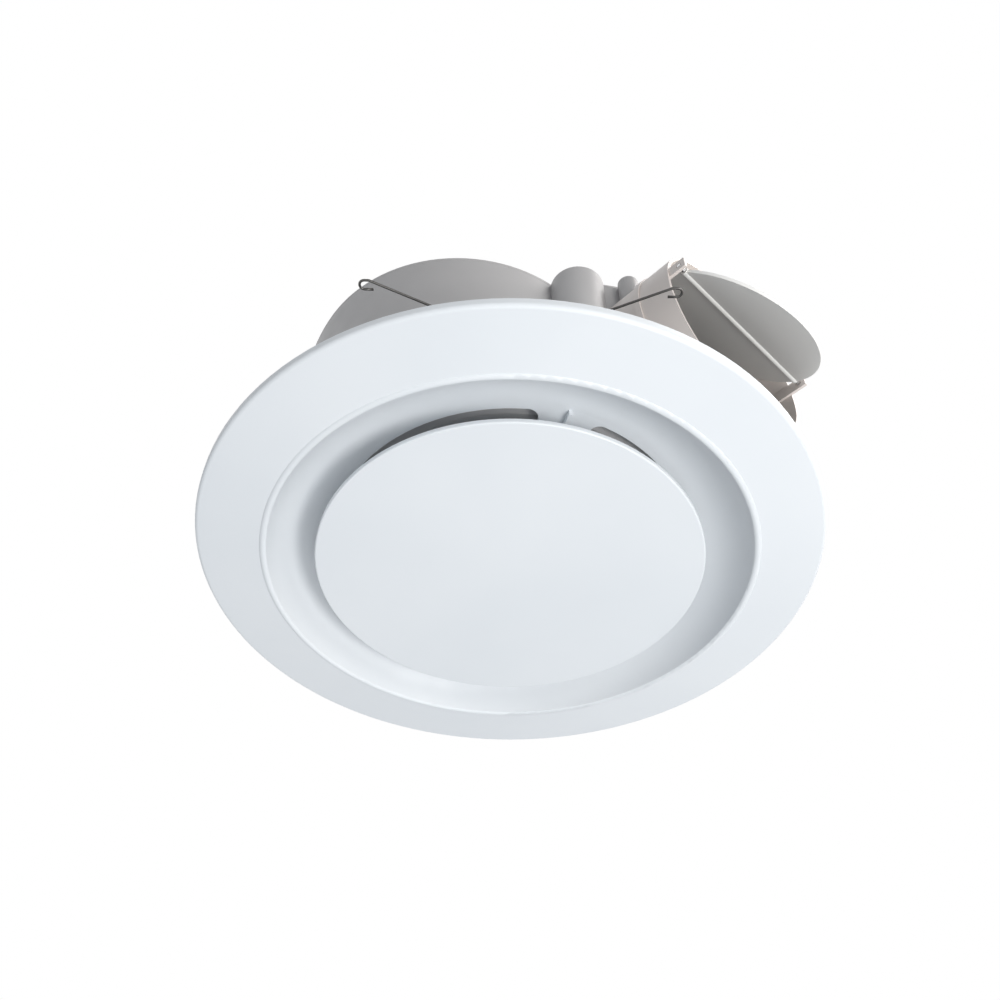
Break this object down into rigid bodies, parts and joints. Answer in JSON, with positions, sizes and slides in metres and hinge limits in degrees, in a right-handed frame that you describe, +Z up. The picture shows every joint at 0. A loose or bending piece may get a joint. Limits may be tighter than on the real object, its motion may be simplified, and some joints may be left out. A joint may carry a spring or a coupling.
{
  "type": "ceiling exhaust fan",
  "caption": "Round ceiling exhaust fan with a flush centre disc in a white fascia, a grey scroll housing, side duct spigot with pivoting draught flap, and wire spring clips.",
  "frame": {"origin": "centre of the ceiling cut-out in the ceiling plane, level with the fascia's back face", "axes": "+Z up into the roof space, the fascia faces -Z, and the outlet leaves between +X and -Y"},
  "size_m": [0.296, 0.296, 0.1494],
  "materials": {
    "white_face": "satin",
    "housing_grey": "satin",
    "flap_grey": "satin",
    "wheel_grey": "matt",
    "motor_steel": "satin",
    "core_steel": "matt",
    "bright_steel": "brushed",
    "spring_steel": "dark",
    "copper": "enamelled",
    "rubber": "matt",
    "terminal_white": "matt",
    "gland_black": "satin"
  },
  "bodies": {
    "housing": {"fascia": "white_face", "centre_disc": "white_face", "drum": "housing_grey", "scroll_casing": "housing_grey", "inlet_cone": "housing_grey", "top_cover": "housing_grey", "motor_can": "motor_steel", "motor_end_bracket": "motor_steel", "upper_bearing": "bright_steel", "lower_bearing": "bright_steel", "stator_core": "core_steel", "windings": "copper", "motor_mounts": "rubber", "motor_screws": "bright_steel", "outlet_spigot": "housing_grey", "cover_screws": "bright_steel", "fascia_screws": "bright_steel", "clip_bracket_near": "housing_grey", "clip_bracket_far": "housing_grey", "terminal_box": "housing_grey", "terminal_lid": "housing_grey", "terminal_block": "terminal_white", "cable_gland": "gland_black", "lid_screws": "bright_steel"},
    "wheel": {"impeller_hub": "wheel_grey", "impeller_blades": "wheel_grey", "impeller_ring": "wheel_grey", "rotor": "core_steel", "motor_shaft": "bright_steel", "impeller_nut": "bright_steel"},
    "flap": {"draught_flap": "flap_grey", "flap_axle": "bright_steel"},
    "clip_near": {"wire_clip_near": "spring_steel"},
    "clip_far": {"wire_clip_far": "spring_steel"}
  },
  "joints": [
    {"name": "wheel_spin", "type": "hinge", "parent": "housing", "child": "wheel", "pos_m": [0, 0, 0.06], "axis": [0, 0, 1], "continuous": true},
    {"name": "flap_swing", "type": "hinge", "parent": "housing", "child": "flap", "pos_m": [0.10946, -0.08683, 0.0686], "axis": [0.7071, 0.7071, 0], "range_deg": [-180, 0]},
    {"name": "clip_near_swing", "type": "hinge", "parent": "housing", "child": "clip_near", "pos_m": [0.00415, -0.11893, 0.021], "axis": [-0.9994, -0.0349, 0], "range_deg": [-30, 75], "stiffness_Nm_per_rad": 0.2},
    {"name": "clip_far_swing", "type": "hinge", "parent": "housing", "child": "clip_far", "pos_m": [-0.00415, 0.11893, 0.021], "axis": [0.9994, 0.0349, 0], "range_deg": [-30, 75], "stiffness_Nm_per_rad": 0.2}
  ]
}
